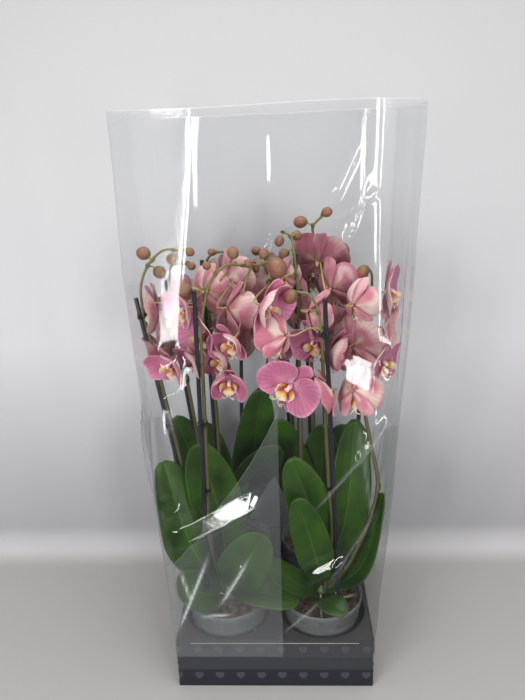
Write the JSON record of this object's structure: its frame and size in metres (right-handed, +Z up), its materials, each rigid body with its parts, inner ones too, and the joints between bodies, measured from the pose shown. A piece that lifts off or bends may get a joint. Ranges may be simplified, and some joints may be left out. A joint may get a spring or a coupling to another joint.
{
  "type": "potted moth orchids in display tray and film sleeve",
  "caption": "Pink moth orchids on stakes in clear pots, standing in a dark printed card tray and wrapped in a tall flared clear film sleeve.",
  "frame": {"origin": "middle of the tray's underside, on the surface it stands on", "axes": "+Z up, -Y out of the printed front of the tray, +X to its right"},
  "size_m": [0.374, 0.3, 0.79],
  "materials": {
    "printed_card": "matt printed card, charcoal with faint bands and a thin gold line",
    "inner_card": "matt dark card",
    "sleeve_film": "clear glossy film with soft creases",
    "pot_plastic": "clear slightly milky plastic",
    "bark": "rough dry bark chips",
    "plant_green": "matt olive green stem",
    "leaf": "thick waxy leaf, deep green",
    "stake_plastic": "near-black plastic",
    "clip_plastic": "black plastic",
    "petal": "soft pink petals with paler edges and salmon backs"
  },
  "bodies": {
    "root": {"display_tray": "printed_card", "pot_insert": "inner_card", "film_sleeve": "sleeve_film", "front_left_pot": "pot_plastic", "front_left_bark": "bark", "front_left_crown": "plant_green", "front_left_leaf_1": "leaf", "front_left_leaf_2": "leaf", "front_left_leaf_3": "leaf", "front_left_leaf_4": "leaf", "front_left_leaf_5": "leaf", "front_left_stake_a": "stake_plastic", "front_left_stake_b": "stake_plastic", "front_left_spike_a": "petal", "front_left_spike_b": "petal", "front_left_clip_a": "clip_plastic", "front_left_clip_b": "clip_plastic", "back_left_pot": "pot_plastic", "back_left_bark": "bark", "back_left_crown": "plant_green", "back_left_leaf_1": "leaf", "back_left_leaf_2": "leaf", "back_left_leaf_3": "leaf", "back_left_leaf_4": "leaf", "back_left_stake_a": "stake_plastic", "back_left_stake_b": "stake_plastic", "back_left_stake_c": "stake_plastic", "back_left_spike_a": "petal", "back_left_spike_b": "petal", "back_left_clip_b": "clip_plastic", "back_right_pot": "pot_plastic", "back_right_bark": "bark", "back_right_crown": "plant_green", "back_right_leaf_1": "leaf", "back_right_leaf_2": "leaf", "back_right_leaf_3": "leaf", "back_right_leaf_4": "leaf", "back_right_stake_a": "stake_plastic", "back_right_stake_b": "stake_plastic", "back_right_stake_c": "stake_plastic", "back_right_spike_a": "petal", "back_right_spike_b": "petal", "back_right_clip_a": "clip_plastic", "front_right_pot": "pot_plastic", "front_right_bark": "bark", "front_right_crown": "plant_green", "front_right_leaf_1": "leaf", "front_right_leaf_2": "leaf", "front_right_leaf_3": "leaf", "front_right_leaf_4": "leaf", "front_right_leaf_5": "leaf", "front_right_leaf_6": "leaf", "front_right_stake_a": "stake_plastic", "front_right_stake_b": "stake_plastic", "front_right_stake_c": "stake_plastic", "front_right_spike_a": "petal", "front_right_spike_b": "petal", "front_right_spike_c": "petal", "front_right_clip_a": "clip_plastic", "front_right_clip_b": "clip_plastic"}
  },
  "joints": []
}
